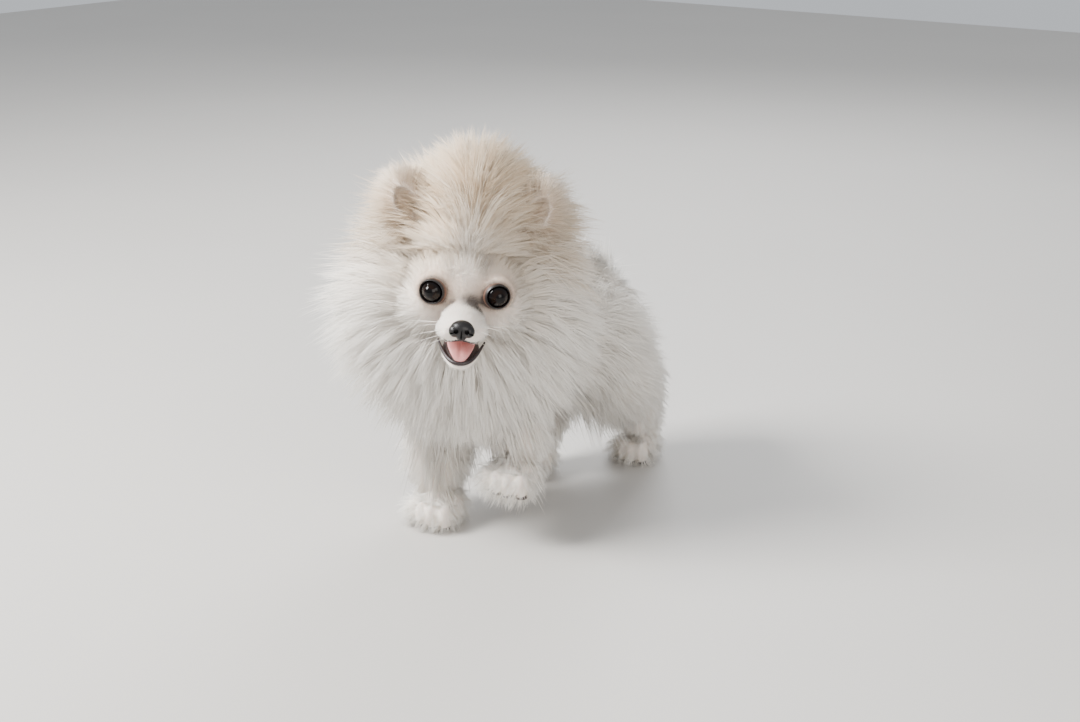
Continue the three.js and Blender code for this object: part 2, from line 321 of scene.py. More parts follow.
# Each paw: where it stands, its width and length, and the height of its sole.
PAWS = {
    "front_paw_right": ((-13, -24), 22, 24, 0),
    "front_paw_left": ((47, -14), 23, 22, 36),
    "hind_paw_right": ((-12, 90), 18, 24, 0),
    "hind_paw_left": ((38, 164), 18, 24, 0),
}
FLESH = 0.6
LEG_FLESH = (0.62, 0.62, 0.96)
# Each form is an ellipsoid that reaches the tips of the hair: frame, centre, radii, turns, how far
# out its flesh ends, and the region whose way of lying its hair has.
forms = [
    ("head", (0, 0, 0), (28, 30, 27), {}, 0.93, "face"),
    ("head", (0, -7, 2), (36, 21, 24), {}, 0.95, "face"),
    ("head", (0, -36, -15), (15, 22, 11), {"pitch": 6}, 0.92, "face"),
    ("head", (4, 25, 54), (45, 44, 44), {}, 0.55, "crown"),
    ("head", (0, 6, 24), (42, 32, 32), {}, 0.66, "crown"),
    ("head", (-2, 25, -31), (101, 54, 92), {}, FLESH, "ruff"),
    ("head", (2, 40, 20), (84, 48, 62), {}, FLESH, "ruff"),
    ("body", (-2, -2, 110), (66, 56, 50), {"yaw": TRUNK_YAW}, FLESH, "chest"),
    ("body", (8, 62, 118), (54, 64, 53), {"yaw": TRUNK_YAW}, FLESH, "back"),
    ("body", (19, 118, 108), (58, 54, 54), {"yaw": TRUNK_YAW}, FLESH, "rump"),
    ("body", (43, 128, 82), (30, 42, 46), {"yaw": TRUNK_YAW}, FLESH, "rump"),
    ("body", (-8, 114, 82), (29, 42, 46), {"yaw": TRUNK_YAW}, FLESH, "rump"),
    ("body", (14, 154, 140), (18, 19, 21), {}, 0.5, "tail"),
    ("body", (2, 136, 157), (24, 25, 23), {}, 0.45, "tail"),
    ("body", (-8, 108, 169), (31, 34, 26), {}, 0.42, "tail"),
    ("body", (-12, 76, 175), (28, 30, 25), {}, 0.4, "tail"),
    ("body", (-31, 0, 86), (32, 31, 42), {}, LEG_FLESH, "foreleg"),
    ("body", (-24, -12, 48), (30, 27, 37), {}, LEG_FLESH, "foreleg"),
    ("body", (34, 10, 98), (26, 28, 34), {}, LEG_FLESH, "foreleg"),
    ("body", (42, 4, 72), (25, 26, 24), {}, LEG_FLESH, "foreleg"),
    ("body", (-10, 110, 56), (23, 26, 34), {}, LEG_FLESH, "hindleg"),
    ("body", (-12, 103, 30), (17, 19, 21), {}, LEG_FLESH, "hindleg"),
    ("body", (41, 156, 62), (25, 28, 40), {}, LEG_FLESH, "hindleg"),
    ("body", (38, 174, 32), (17, 20, 22), {}, LEG_FLESH, "hindleg"),
]
for side in (1, -1):
    forms += [
        ("head", (side * 22, -2, -14), (22, 22, 22), {}, 0.8, "face"),
        ("head", (side * 7, -42, -19), (9, 12, 7.5), {"pitch": 6}, 1.0, "face"),
        ("head", (side * 46, 22, 47), (21, 17, 27), {"lean": side * 24}, 0.35, "ear"),
        ("head", (side * 20.5, -20, 0.5), (12.5, 9.2, 12), {}, 1.0, "face"),
    ]
TOES = (-1.5, -0.5, 0.5, 1.5)


def toe_spot(paw_x, paw_y, width, length, toe):
    """Where a toe stands, toes counted out from the middle of the paw."""
    return paw_x + toe * width * 0.4, paw_y - length * (0.6 - 0.14 * abs(toe))


for (paw_x, paw_y), width, length, sole in PAWS.values():
    heel = (paw_x, paw_y + length * 0.2, sole + 12)
    forms.append(("body", heel, (width, length * 0.8, 16), {}, 0.74, "paw"))
    for toe in TOES:
        toe_at = (*toe_spot(paw_x, paw_y, width, length, toe), sole + 10)
        forms.append(("body", toe_at, (width * 0.32, length * 0.42, 13), {}, 0.72, "paw"))

places = {"head": head_place, "body": body_place}
balls = []
for where, at, radii, turns, flesh, region in forms:
    flesh = flesh if isinstance(flesh, tuple) else (flesh,) * 3
    inner = tuple(r * f for r, f in zip(radii, flesh))
    balls.append(start_ball(places[where] @ turned_scale(at, inner, **turns)))
tail_knots = [Vector(f[1]) for f in forms if f[5] == "tail"]
TAIL_ROOT = Vector((20, 150, 122))
TAIL_THICKNESS = 8.5
TAIL_BEADS = 5
for knot, next_knot in zip([TAIL_ROOT, *tail_knots], tail_knots):
    for step in range(TAIL_BEADS):
        bead = knot.lerp(next_knot, step / TAIL_BEADS)
        balls.append(
            start_ball(body_place @ turned_scale(bead, (TAIL_THICKNESS,) * 3), 16, 10)
        )
skin = join(balls, "skin")
modify(skin, "REMESH", mode="VOXEL", voxel_size=1.5 * MM)
modify(skin, "SMOOTH", factor=0.5, iterations=6)
# The mouth is a flat hollow tipped down at the front, and each eye and the nose has a round seat.
MOUTH = ((0, -38, -31.5), (16, 24, 5.6), 17)
SOCKET = (9.25, 9.25, 9.25)
NOSE_SEAT = ((0, -56, -15), (7.9, 6.2, 6.3))
mouth_cutter = start_ball(head_place @ turned_scale(MOUTH[0], MOUTH[1], pitch=MOUTH[2]), 48, 24)
carve(skin, mouth_cutter)
for side in (1, -1):
    carve(skin, start_ball(head_place @ turned_scale(side_of(EYE_AT, side), SOCKET), 48, 24))
carve(skin, start_ball(head_place @ turned_scale(*NOSE_SEAT), 48, 24))
unwrap(skin, 0.002)

# The chin and lower jaw hang open under the tongue, in the same skin.
JAW_PITCH = 14
jaw = join(
    [
        start_ball(head_place @ turned_scale((0, -27, -38.5), (12.6, 21, 5), pitch=JAW_PITCH)),
        start_ball(head_place @ turned_scale((0, -40, -42), (8.6, 8.2, 4.2), pitch=JAW_PITCH)),
    ],
    "lower_jaw_skin",
)
modify(jaw, "REMESH", mode="VOXEL", voxel_size=0.8 * MM)
modify(jaw, "SMOOTH", factor=0.5, iterations=5)
tongue_bed = turned_scale((0, -33, -33.5), (9.5, 17, 4), pitch=16)
carve(jaw, start_ball(head_place @ tongue_bed, 40, 20))
unwrap(jaw, 0.002)


# The markings: white and cream with a beige crown, dark hairs on the temples and the bridge of
# the nose, tan rings round the eyes, and dark lips. Skin and hair carry the same marks, each
# as amounts by place in the head's own layout.
def blob(points, centre, radii):
    """How near points are to a soft spot, from 1 at its middle to 0 well outside."""
    away = (points - np.array(centre)) / np.array(radii)
    return np.exp(-(away**2).sum(1) * 1.2)


to_head = np.array(head_place.inverted())


def in_head(points):
    """Points in the frame's metres, given in the head's layout."""
    return points @ to_head[:3, :3].T + to_head[:3, 3]


def marks(points):
    """The beige, dark, tan and lip amounts of points in the frame."""
    p = in_head(points)
    beige = 0.95 * blob(p, (0, 0, 62), (74, 64, 46)) + 0.7 * blob(p, (-50, 10, 24), (36, 60, 30))
    beige += 0.55 * blob(p, (52, 10, 22), (34, 60, 28)) + 0.3 * blob(p, (0, 120, -40), (90, 90, 90))
    beige *= 1 - 0.75 * blob(p, (1, -24, 26), (7, 20, 22))
    dark = 0.8 * blob(p, (-50, 2, 24), (22, 32, 16)) + 0.45 * blob(p, (46, 0, 26), (18, 28, 14))
    dark += 1.5 * blob(p, (9, -31, -5), (6.5, 8, 5)) + 0.9 * blob(p, (2, -31, -3), (5, 6, 4))
    dark += 0.6 * blob(p, (12, -25, 19), (6, 12, 9)) + 0.45 * blob(p, (-10, -26, 16), (4, 10, 8))
    tan = np.zeros(len(p))
    mouth_away = np.linalg.norm((p - np.array((0, -36, -34))) / np.array((17, 24, 6.5)), axis=1)
    lips = np.clip((1.12 - mouth_away) * 6, 0, 1)
    for side in (1, -1):
        dark += 1.0 * blob(p, (side * 13.5, -31, -7), (3.4, 6, 5.5))
        dark += 0.9 * blob(p, (side * 18, -27, -27), (6, 8, 4))
        eye_away = np.linalg.norm(p - np.array(side_of(EYE_AT, side)), axis=1)
        dark += 0.8 * np.exp(-(((eye_away - 9.6) / 1.1) ** 2))
        tan += 0.85 * blob(p, (side * 21, -26, 0), (16, 14, 13.5))
        tan += 0.3 * blob(p, (side * 46, 8, 50), (14, 14, 22))
    return np.clip(np.stack([beige, dark, tan, lips], 1), 0, 1)


def mesh_points(mesh):
    flat = np.empty(len(mesh.vertices) * 3)
    mesh.vertices.foreach_get("co", flat)
    return flat.reshape(-1, 3)


def store(mesh, name, values):
    """Four numbers a vertex, as a colour attribute."""
    layer = mesh.color_attributes.new(name, "FLOAT_COLOR", "POINT")
    layer.data.foreach_set("color", np.ascontiguousarray(values, np.float32).ravel())


for flesh_piece in (skin, jaw):
    store(flesh_piece.data, "marks", marks(mesh_points(flesh_piece.data)))


def coat_colour(finish, base, beige, dark, tan):
    """The colour of the coat at given amounts of each mark."""
    warm = finish.mix(beige, base, (0.70, 0.53, 0.35, 1))
    tanned = finish.mix(tan, warm, (0.50, 0.29, 0.18, 1))
    return finish.mix(dark, tanned, (0.045, 0.036, 0.034, 1))


hide = Finish("skin_under_coat")
beige = hide.node("ShaderNodeSeparateColor", Color=hide.attribute("marks"))
dark = Knob(hide.tree, beige.socket.node.outputs[1])
tan = Knob(hide.tree, beige.socket.node.outputs[2])
lips = hide.attribute("marks", 3)
pores = hide.noise(900, 4, 0.6)
pale_skin = hide.mix(pores, (0.80, 0.70, 0.62, 1), (0.88, 0.80, 0.73, 1))
coated = coat_colour(hide, pale_skin, beige * 0.8, dark * 0.9, tan)
hide.set(
    Base_Color=hide.mix(lips, coated, (0.028, 0.014, 0.013, 1)),
    Roughness=0.85 - lips * 0.4,
)
hide.shader.inputs["Subsurface Weight"].default_value = 0.15
hide.shader.inputs["Subsurface Radius"].default_value = (0.004, 0.002, 0.001)
hide.bump(pores, 0.4, 0.0004)
finished(
    skin, hide, "coat", "head", "neck", "torso", "hindquarters", "tail", "front_leg_right",
    "front_leg_left", "hind_leg_right", "hind_leg_left", "front_paw_right", "front_paw_left",
    "hind_paw_right", "hind_paw_left",
)
finished(jaw, hide, "paw", "lower_jaw")


# The eyes: wet, nearly black brown balls, set a little outwards, with a cornea that bulges at
# the front over a dark iris. Each is a glass eye in its socket.
CORNEA = (38, 0.8)
EYE_SPLAY = 18


def eye_turn(side):
    """The turn that carries +Z onto the way an eye looks, in the head's layout."""
    turn = math.radians(EYE_SPLAY) * side
    sight = Vector((math.sin(turn), -math.cos(turn), 0.05)).normalized()
    return sight.to_track_quat("Z", "Y").to_matrix().to_4x4()


eye_glass = Finish("eye_glass")
off_sight = eye_glass.attribute("off_sight", 2)
iris_grain = eye_glass.noise(2600, 3, 0.6)
iris_stops = [
    (0.0, (0.002, 0.002, 0.002, 1)),
    (0.22, (0.003, 0.002, 0.002, 1)),
    (0.27, (0.008, 0.0035, 0.002, 1)),
    (0.46, (0.005, 0.0025, 0.0015, 1)),
    (0.53, (0.003, 0.002, 0.002, 1)),
    (1.0, (0.004, 0.003, 0.003, 1)),
]
eye_glass.set(
    Base_Color=eye_glass.node(
        "ShaderNodeValToRGB", {"stops": iris_stops}, Fac=off_sight + (iris_grain - 0.5) * 0.07
    ),
    Roughness=0.05,
    Coat_Weight=0.15,
    Coat_Roughness=0.01,
)
eye_glass.shader.inputs["Specular IOR Level"].default_value = 0.1
for side, eye_name in ((1, "eye_left"), (-1, "eye_right")):
    aim = eye_turn(side)
    eye = start_ball(Matrix.Scale(EYE_RADIUS, 4), 64, 40)
    eye.name = eye_name + "_ball"
    away = []
    for v in eye.data.vertices:
        angle = math.degrees(v.co.angle(Vector((0, 0, 1))))
        away.append(angle / 90)
        if angle < CORNEA[0]:
            v.co += v.co.normalized() * CORNEA[1] * math.cos(math.radians(angle / CORNEA[0] * 90))
    layer = eye.data.attributes.new("off_sight", "FLOAT", "POINT")
    layer.data.foreach_set("value", away)
    eye.data.transform(head_place @ Matrix.Translation(side_of(EYE_AT, side)) @ aim)
    smooth_shade(eye)
    finished(eye, eye_glass, "eye", eye_name)

# The lids: thin black-rimmed skin drawn round each eye, open in an almond that is a little wider
# than high, with the rim dark and the rest going over to tan under the hair.
LID_RADIUS = 8.5
LID_THICKNESS = 0.8
LID_OPENING = (62, 56)
LID_END = 112
lid_skin = Finish("lid_skin")
from_rim = lid_skin.attribute("from_rim", 2)
lid_stops = [
    (0.0, (0.008, 0.006, 0.006, 1)),
    (0.2, (0.014, 0.01, 0.009, 1)),
    (0.5, (0.2, 0.1, 0.065, 1)),
]
lid_grain = lid_skin.noise(1500, 4, 0.6)
lid_skin.set(
    Base_Color=lid_skin.node(
        "ShaderNodeValToRGB", {"stops": lid_stops}, Fac=from_rim + (lid_grain - 0.5) * 0.1
    ),
    Roughness=0.35 + from_rim * 0.4,
)
lid_skin.bump(lid_grain, 0.3, 0.0003)
for side, lid_name in ((1, "lids_left"), (-1, "lids_right")):
    lid = start_ball(Matrix.Identity(4), 64, 26)
    bpy.ops.object.mode_set(mode="EDIT")
    bpy.ops.mesh.select_all(action="DESELECT")
    bpy.ops.object.mode_set(mode="OBJECT")
    for v in lid.data.vertices:
        v.select = abs(v.co.z) > 0.9999
    bpy.ops.object.mode_set(mode="EDIT")
    bpy.ops.mesh.delete(type="VERT")
    bpy.ops.object.mode_set(mode="OBJECT")
    rims = []
    for v in lid.data.vertices:
        along = math.degrees(v.co.angle(Vector((0, 0, 1)))) / 180
        round_at = math.atan2(v.co.y, v.co.x)
        wide = abs(math.cos(round_at)) ** 3
        opening = LID_OPENING[1] + (LID_OPENING[0] - LID_OPENING[1]) * wide
        angle = math.radians(opening + (LID_END - opening) * along)
        v.co = LID_RADIUS * Vector(
            (math.cos(round_at) * math.sin(angle), math.sin(round_at) * math.sin(angle), math.cos(angle))
        )
        rims.append(along)
    layer = lid.data.attributes.new("from_rim", "FLOAT", "POINT")
    layer.data.foreach_set("value", rims)
    aim = eye_turn(side)
    lid.data.transform(Matrix.Translation(side_of(EYE_AT, side)) @ aim)
    modify(lid, "SOLIDIFY", thickness=LID_THICKNESS, offset=1)
    modify(lid, "SUBSURF", levels=1, render_levels=1)
    lid.data.transform(head_place)
    lid.name = lid_name
    smooth_shade(lid)
    finished(lid, lid_skin, "eye")

# The nose: moist black skin in fine pebbles, with comma nostrils and a groove down the middle. It
# is grown together from four balls and sits in its seat at the end of the muzzle.
nose_balls = [
    turned_scale((0, -56, -14.6), (7.6, 6, 5.8)),
    turned_scale((4.5, -57.4, -15.6), (4, 4.6, 4.2)),
    turned_scale((-4.5, -57.4, -15.6), (4, 4.6, 4.2)),
    turned_scale((0, -56.5, -18.6), (3.8, 4.4, 3.6)),
]
nose = join([start_ball(head_place @ m, 40, 24) for m in nose_balls], "nose_leather")
modify(nose, "REMESH", mode="VOXEL", voxel_size=0.42 * MM)
modify(nose, "SMOOTH", factor=0.5, iterations=4)
for side in (1, -1):
    nostril = turned_scale((side * 3.5, -61.6, -15), (1.7, 2.8, 1.45), lean=side * 25)
    slit = turned_scale((side * 6.1, -59.6, -16.6), (2.6, 3, 0.7), lean=side * 20, yaw=side * 30)
    carve(nose, start_ball(head_place @ nostril, 32, 16))
    carve(nose, start_ball(head_place @ slit, 32, 16))
carve(nose, start_ball(head_place @ turned_scale((0, -61.6, -18.6), (0.5, 2.6, 4.6)), 24, 16))
smooth_shade(nose)
nose_leather = Finish("nose_leather")
pebbles = nose_leather.node(
    "ShaderNodeTexVoronoi", {"feature": "SMOOTH_F1"}, Vector=nose_leather.place(), Scale=1900.0
)
nose_leather.set(
    Base_Color=nose_leather.mix(pebbles, (0.005, 0.0045, 0.005, 1), (0.013, 0.011, 0.011, 1)),
    Roughness=0.28 + pebbles * 0.25,
    Coat_Weight=0.12,
    Coat_Roughness=0.12,
)
nose_leather.shader.inputs["Specular IOR Level"].default_value = 0.3
nose_leather.bump(1 - pebbles, 0.55, 0.0003)
finished(nose, nose_leather, "nose", "nose")

# The lips: black bare skin in a narrow rim, down from the nose and round both sides of the open
# mouth, and round the front of the lower jaw.
LIP_LINES = {
    "lip_cleft": (0.9, [(0, -58, -19.5), (0, -55.5, -21.5), (0, -52.5, -23.4)]),
    "upper_lip": (
        1.15,
        [(-16, -28, -28), (-14.6, -32, -24.2), (-12, -38, -24.6), (-8, -46, -25.6),
         (-4, -50, -24.8), (0, -52, -23.6), (4, -50, -24.8), (8, -46, -25.6), (12, -38, -24.6),
         (14.6, -32, -24.2), (16, -28, -28)],
    ),
    "lower_lip": (
        1.5,
        [(-15.5, -26, -32.5), (-13, -33, -35.6), (-9.4, -41, -38.6), (-5.2, -46.6, -40.6),
         (0, -48.4, -41.2), (5.2, -46.6, -40.6), (9.4, -41, -38.6), (13, -33, -35.6),
         (15.5, -26, -32.5)],
    ),
}
lip_skin = Finish("lip_skin")
lip_grain = lip_skin.noise(1200, 4, 0.65)
lip_skin.set(
    Base_Color=lip_skin.mix(lip_grain, (0.008, 0.006, 0.007, 1), (0.035, 0.02, 0.02, 1)),
    Roughness=0.22 + lip_grain * 0.3,
)
lip_skin.bump(lip_grain, 0.5, 0.0003)
LOOK_FROM = 0.04
LIP_SLACK = 0.009
gums = BVHTree.FromObject(skin, bpy.context.evaluated_depsgraph_get())
head_back = (head_place.to_3x3() @ Vector((0, 1, 0))).normalized()
for lip_name, (thickness, stations) in LIP_LINES.items():
    bpy.ops.object.select_all(action="DESELECT")
    bpy.ops.curve.primitive_nurbs_path_add()
    line = bpy.context.object
    line.data.splines.clear()
    spline = line.data.splines.new("NURBS")
    spline.points.add(len(stations) - 1)
    for point, station, at in zip(spline.points, stations, range(len(stations))):
        edge = min(at, len(stations) - 1 - at)
        station = head_place @ Vector(station)
        if lip_name == "upper_lip" and edge > 0:
            ahead = station - head_back * LOOK_FROM
            hit = gums.ray_cast(ahead, head_back)[0]
            near = hit and (hit - station).length < LIP_SLACK
            station = hit if near else gums.find_nearest(station)[0]
        point.co = (*station, 1)
        point.radius = 0.45 + 0.55 * min(1, edge / 2) if len(stations) > 3 else 1
    spline.use_endpoint_u = True
    spline.order_u = 3
    line.data.resolution_u = 8
    line.data.bevel_depth = thickness * MM
    line.data.bevel_resolution = 3
    line.data.use_fill_caps = True
    bpy.ops.object.convert(target="MESH")
    line.name = lip_name
    line.data.name = lip_name
    smooth_shade(line)
    finished(line, lip_skin, "nose")

# The tongue: wet pink muscle with a groove down its middle and its tip bent down. It rests in the
# hollow of the lower jaw.
TONGUE = ((0, -32, -32), (9.2, 17.6, 2.4), 16)
TIP_FROM = 9
tongue = start_ball(Matrix.Diagonal((*TONGUE[1], 1)), 56, 36)
for v in tongue.data.vertices:
    across = v.co.x / TONGUE[1][0]
    if v.co.z > 0:
        v.co.z -= 1.3 * math.exp(-((v.co.x / 1.5) ** 2)) * max(0, v.co.z / TONGUE[1][2])
    v.co.z += 1.6 * across**2
    if v.co.y < -TIP_FROM:
        v.co.z -= 0.05 * (v.co.y + TIP_FROM) ** 2
tongue.data.transform(
    head_place @ Matrix.Translation(TONGUE[0]) @ Matrix.Rotation(math.radians(TONGUE[2]), 4, "X")
)
tongue.name = "tongue_muscle"
smooth_shade(tongue)
tongue_skin = Finish("tongue_skin")
papillae = tongue_skin.node(
    "ShaderNodeTexVoronoi", Vector=tongue_skin.place(), Scale=1500.0
)
flush = tongue_skin.noise(160, 3)
tongue_skin.set(
    Base_Color=tongue_skin.mix(flush, (0.56, 0.17, 0.17, 1), (0.72, 0.33, 0.31, 1)),
    Roughness=0.3 + papillae * 0.25,
)
tongue_skin.shader.inputs["Subsurface Weight"].default_value = 0.2
tongue_skin.shader.inputs["Subsurface Radius"].default_value = (0.003, 0.001, 0.0008)
tongue_skin.bump(1 - papillae, 0.5, 0.00025)
finished(tongue, tongue_skin, "tongue", "tongue")

# The ears: small upright leaves of thin pink-lined skin, cupped to the front, rounded at the tip
# and set in the hair of the crown.
EAR = ((44, 12, 50), (13, 8, 18), 24)
EAR_CUP = ((44, 3.4, 51), (8.6, 4.4, 13))
ear_skin = Finish("ear_skin")
veins = ear_skin.noise(120, 5, 0.6)
ear_skin.set(
    Base_Color=ear_skin.mix(veins, (0.84, 0.70, 0.62, 1), (0.90, 0.82, 0.75, 1)),
    Roughness=0.6,
)
ear_skin.bump(veins, 0.3, 0.0004)
ears = {}
for side, ear_name in ((1, "ear_left"), (-1, "ear_right")):
    leaf = start_ball(Matrix.Diagonal((*EAR[1], 1)), 48, 32)
    for v in leaf.data.vertices:
        up = v.co.z / EAR[1][2]
        v.co.x *= 1 - 0.28 * max(0, up)
    lean = Matrix.Rotation(math.radians(side * EAR[2]), 4, "Y")
    leaf.data.transform(head_place @ Matrix.Translation(side_of(EAR[0], side)) @ lean)
    cup = turned_scale(side_of(EAR_CUP[0], side), EAR_CUP[1], lean=side * EAR[2])
    carve(leaf, start_ball(head_place @ cup, 48, 32))
    unwrap(leaf, 0.01)
    leaf.name = ear_name + "_leaf"
    finished(leaf, ear_skin, "paw", ear_name)
    ears[ear_name] = leaf

# The pads and claws: dark rough pads under each foot, one behind and one to a toe, and short
# curved horn claws at the toes.
pad_skin = Finish("pad_skin")
pad_grain = pad_skin.node("ShaderNodeTexVoronoi", Vector=pad_skin.place(), Scale=1400.0)
pad_skin.set(
    Base_Color=pad_skin.mix(pad_grain, (0.035, 0.026, 0.026, 1), (0.09, 0.065, 0.062, 1)),
    Roughness=0.75,
)
pad_skin.bump(pad_grain, 0.6, 0.0004)
claw_horn = Finish("claw_horn")
horn_grain = claw_horn.noise(700, 4, 0.6)
claw_horn.set(
    Base_Color=claw_horn.mix(horn_grain, (0.30, 0.25, 0.21, 1), (0.52, 0.46, 0.40, 1)),
    Roughness=0.3 + horn_grain * 0.2,
)
claw_horn.bump(horn_grain, 0.2, 0.0002)
CLAW_LENGTH = 5
CLAW_RADIUS = 1.1
CLAW_TAPER = 0.6
CLAW_BEND = 2.4
for paw_name, ((paw_x, paw_y), width, length, sole) in PAWS.items():
    pads = [turned_scale((paw_x, paw_y + length * 0.25, sole + 2.2), (width * 0.5, length * 0.3, 2))]
    claws = []
    for toe in TOES:
        toe_x, toe_y = toe_spot(paw_x, paw_y, width, length, toe)
        pads.append(turned_scale((toe_x, toe_y, sole + 2.2), (width * 0.2, length * 0.2, 2)))
        claw = start_ball(Matrix.Diagonal((CLAW_RADIUS, CLAW_LENGTH / 2, CLAW_RADIUS, 1)), 16, 12)
        for v in claw.data.vertices:
            along = 0.5 - v.co.y / CLAW_LENGTH
            v.co.x *= 1 - CLAW_TAPER * along
            v.co.z = v.co.z * (1 - CLAW_TAPER * along) - CLAW_BEND * along**2
        claw.data.transform(
            body_place @ Matrix.Translation((toe_x, toe_y - length * 0.27, sole + 5))
        )
        claws.append(claw)
    pads = join([start_ball(body_place @ pad, 24, 14) for pad in pads], paw_name + "_pads")
    smooth_shade(pads)
    finished(pads, pad_skin, "nose")
    claws = join(claws, paw_name + "_claws")
    smooth_shade(claws)
    finished(claws, claw_horn, "nose")

# The coat: long soft hair in locks, grown from the skin, the jaw and the ears. Each hair is a
# thin closed spike of two lengths with three sides. It is as long as it takes to reach the form's
# outline, but short round the nose and eyes, and it ends at the fringe kept round the solids' box.
LIFT = {
    "face": 0.5, "crown": 1.3, "ruff": 1.5, "chest": 1.3, "back": 1.1, "rump": 1.2,
    "tail": 1.0, "foreleg": 1.1, "hindleg": 1.0, "ear": 1.5, "paw": 1.2,
}
NOSE_AT = np.array((0, -60, -14))
BOWL = (np.array((0, -62, -10)), np.array((50, 57, 56)))
REACH_STEP = 2.0
REACH_MOST = 60
PAW_HAIR = 11
FACE_HAIR = 16
FACE_REACH = 90
LEAST_HAIR = 1.2


def lie_of(region, q, p):
    """Which way the hair lies, by place on a form's unit ball and in its layout."""
    x, _, z = q.T
    one = np.ones_like(x)
    if region in ("face", "ruff"):
        away = p - NOSE_AT
        away /= np.linalg.norm(away, axis=1, keepdims=True)
        if region == "face":
            return away + np.array((0, 0.35, 0.05))
        return away + np.array((0, 0.2, -0.12))
    return np.stack(
        {
            "crown": (0.7 * x, 0.9 * one, 0.5 - 0.4 * z),
            "ear": (0.5 * x, 0.4 * one, 0.9 * one),
            "chest": (0.2 * x, 0.25 * one, -one),
            "back": (0 * x, one, -0.35 - 0.3 * np.maximum(0, -z)),
            "rump": (0.2 * x, 0.55 + 0 * x, -0.3 - 0.6 * np.maximum(0, -z)),
            "tail": (1.2 * x - 0.2, -one, 0.1 * one),
            "foreleg": (0.25 * x, 0.25 * one, -one),
            "hindleg": (0.25 * x, 0.25 * one, -one),
            "paw": (0.3 * x, -0.5 * one, -0.8 * one),
        }[region],
        1,
    )


form_table = []
for where, at, radii, turns, flesh, region in forms:
    to_ball = np.array((places[where] @ turned_scale(at, radii, **turns)).inverted())
    axes = np.array(places[where].to_3x3()) / MM
    flesh = float(np.mean(flesh))
    form_table.append((to_ball, axes, flesh, region))


def within_outline(points):
    """Which points lie inside the tips of the coat, with a bowl left free before the face."""
    p = in_head(points)
    in_bowl = (((p - BOWL[0]) / BOWL[1]) ** 2).sum(1) < 1
    within = np.zeros(len(points), bool)
    for to_ball, _, _, region in form_table:
        q = points @ to_ball[:3, :3].T + to_ball[:3, 3]
        hit = (q**2).sum(1) < 1
        if region == "ruff":
            hit &= ~in_bowl
        within |= hit
    return within


def unit(vectors):
    return vectors / np.maximum(np.linalg.norm(vectors, axis=1, keepdims=True), 1e-9)


def longest(away, least, grows_from, slope, quickens_from=0, bend=0):
    """How long hair may be at distances from a place where it is short, in mm."""
    steady = least + slope * np.maximum(0, away - grows_from)
    return steady + bend * np.maximum(0, away - quickens_from) ** 2


def hair_lie(points, normals):
    """For places on the skin: lie, lift, length in mm, and the region each belongs to."""
    p = in_head(points)
    lie = np.zeros_like(points)
    lift = np.zeros(len(points))
    total = np.zeros(len(points))
    shares = {region: np.zeros(len(points)) for region in LIFT}
    for to_ball, axes, flesh, region in form_table:
        q = points @ to_ball[:3, :3].T + to_ball[:3, 3]
        away = np.linalg.norm(q, axis=1)
        weight = np.exp(-np.clip(away / flesh - 1, -0.1, 9) / 0.07)
        lie += weight[:, None] * unit(lie_of(region, unit(q), p)) @ axes.T
        lift += weight * LIFT[region]
        total += weight
        shares[region] += weight
    lift /= np.maximum(total, 1e-12)
    lie = unit(lie)
    inward = np.minimum(0, (lie * normals).sum(1, keepdims=True))
    lie = unit(lie - inward * normals)
    start = unit(lie + lift[:, None] * normals)
    length = np.zeros(len(points))
    inside = np.ones(len(points), bool)
    for step in np.arange(REACH_STEP, REACH_MOST, REACH_STEP):
        inside &= within_outline(points + start * step * MM)
        length[inside] = step
    to_nose = np.linalg.norm(p - np.array((0, -57, -15)), axis=1)
    near_nose = longest(to_nose, 1.6, 7, 0.24, 18, 0.02)
    length = np.minimum(length * 1.12 + 1.5, near_nose)
    face_away = np.linalg.norm((p - np.array((0, -30, -6))) / np.array((1, 1, 0.9)), axis=1)
    near_face = 3.2 + 0.42 * np.maximum(0, face_away - 20) ** 1.32
    length = np.where(to_nose < FACE_REACH, np.minimum(length, near_face), length)
    for side in (1, -1):
        to_eye = np.linalg.norm(p - np.array(side_of(EYE_AT, side)), axis=1)
        length = np.minimum(length, longest(to_eye, 1.8, 9.5, 0.6, 15, 0.035))
    names = list(shares)
    owner = np.argmax(np.stack([shares[n] for n in names]), 0)
    short = np.minimum(near_nose, near_face)
    for side in (1, -1):
        to_eye = np.linalg.norm(p - np.array(side_of(EYE_AT, side)), axis=1)
        short = np.minimum(short, longest(to_eye, 1.8, 9.5, 0.5))
    on_face = shares["face"] + shares["crown"] > 0.5 * total
    length = np.where(on_face, np.maximum(length, 0.6 * np.minimum(short, FACE_HAIR)), length)
    length = np.where(owner == names.index("paw"), np.maximum(length, PAW_HAIR), length)
    return lie, lift, np.maximum(length, LEAST_HAIR), owner, names


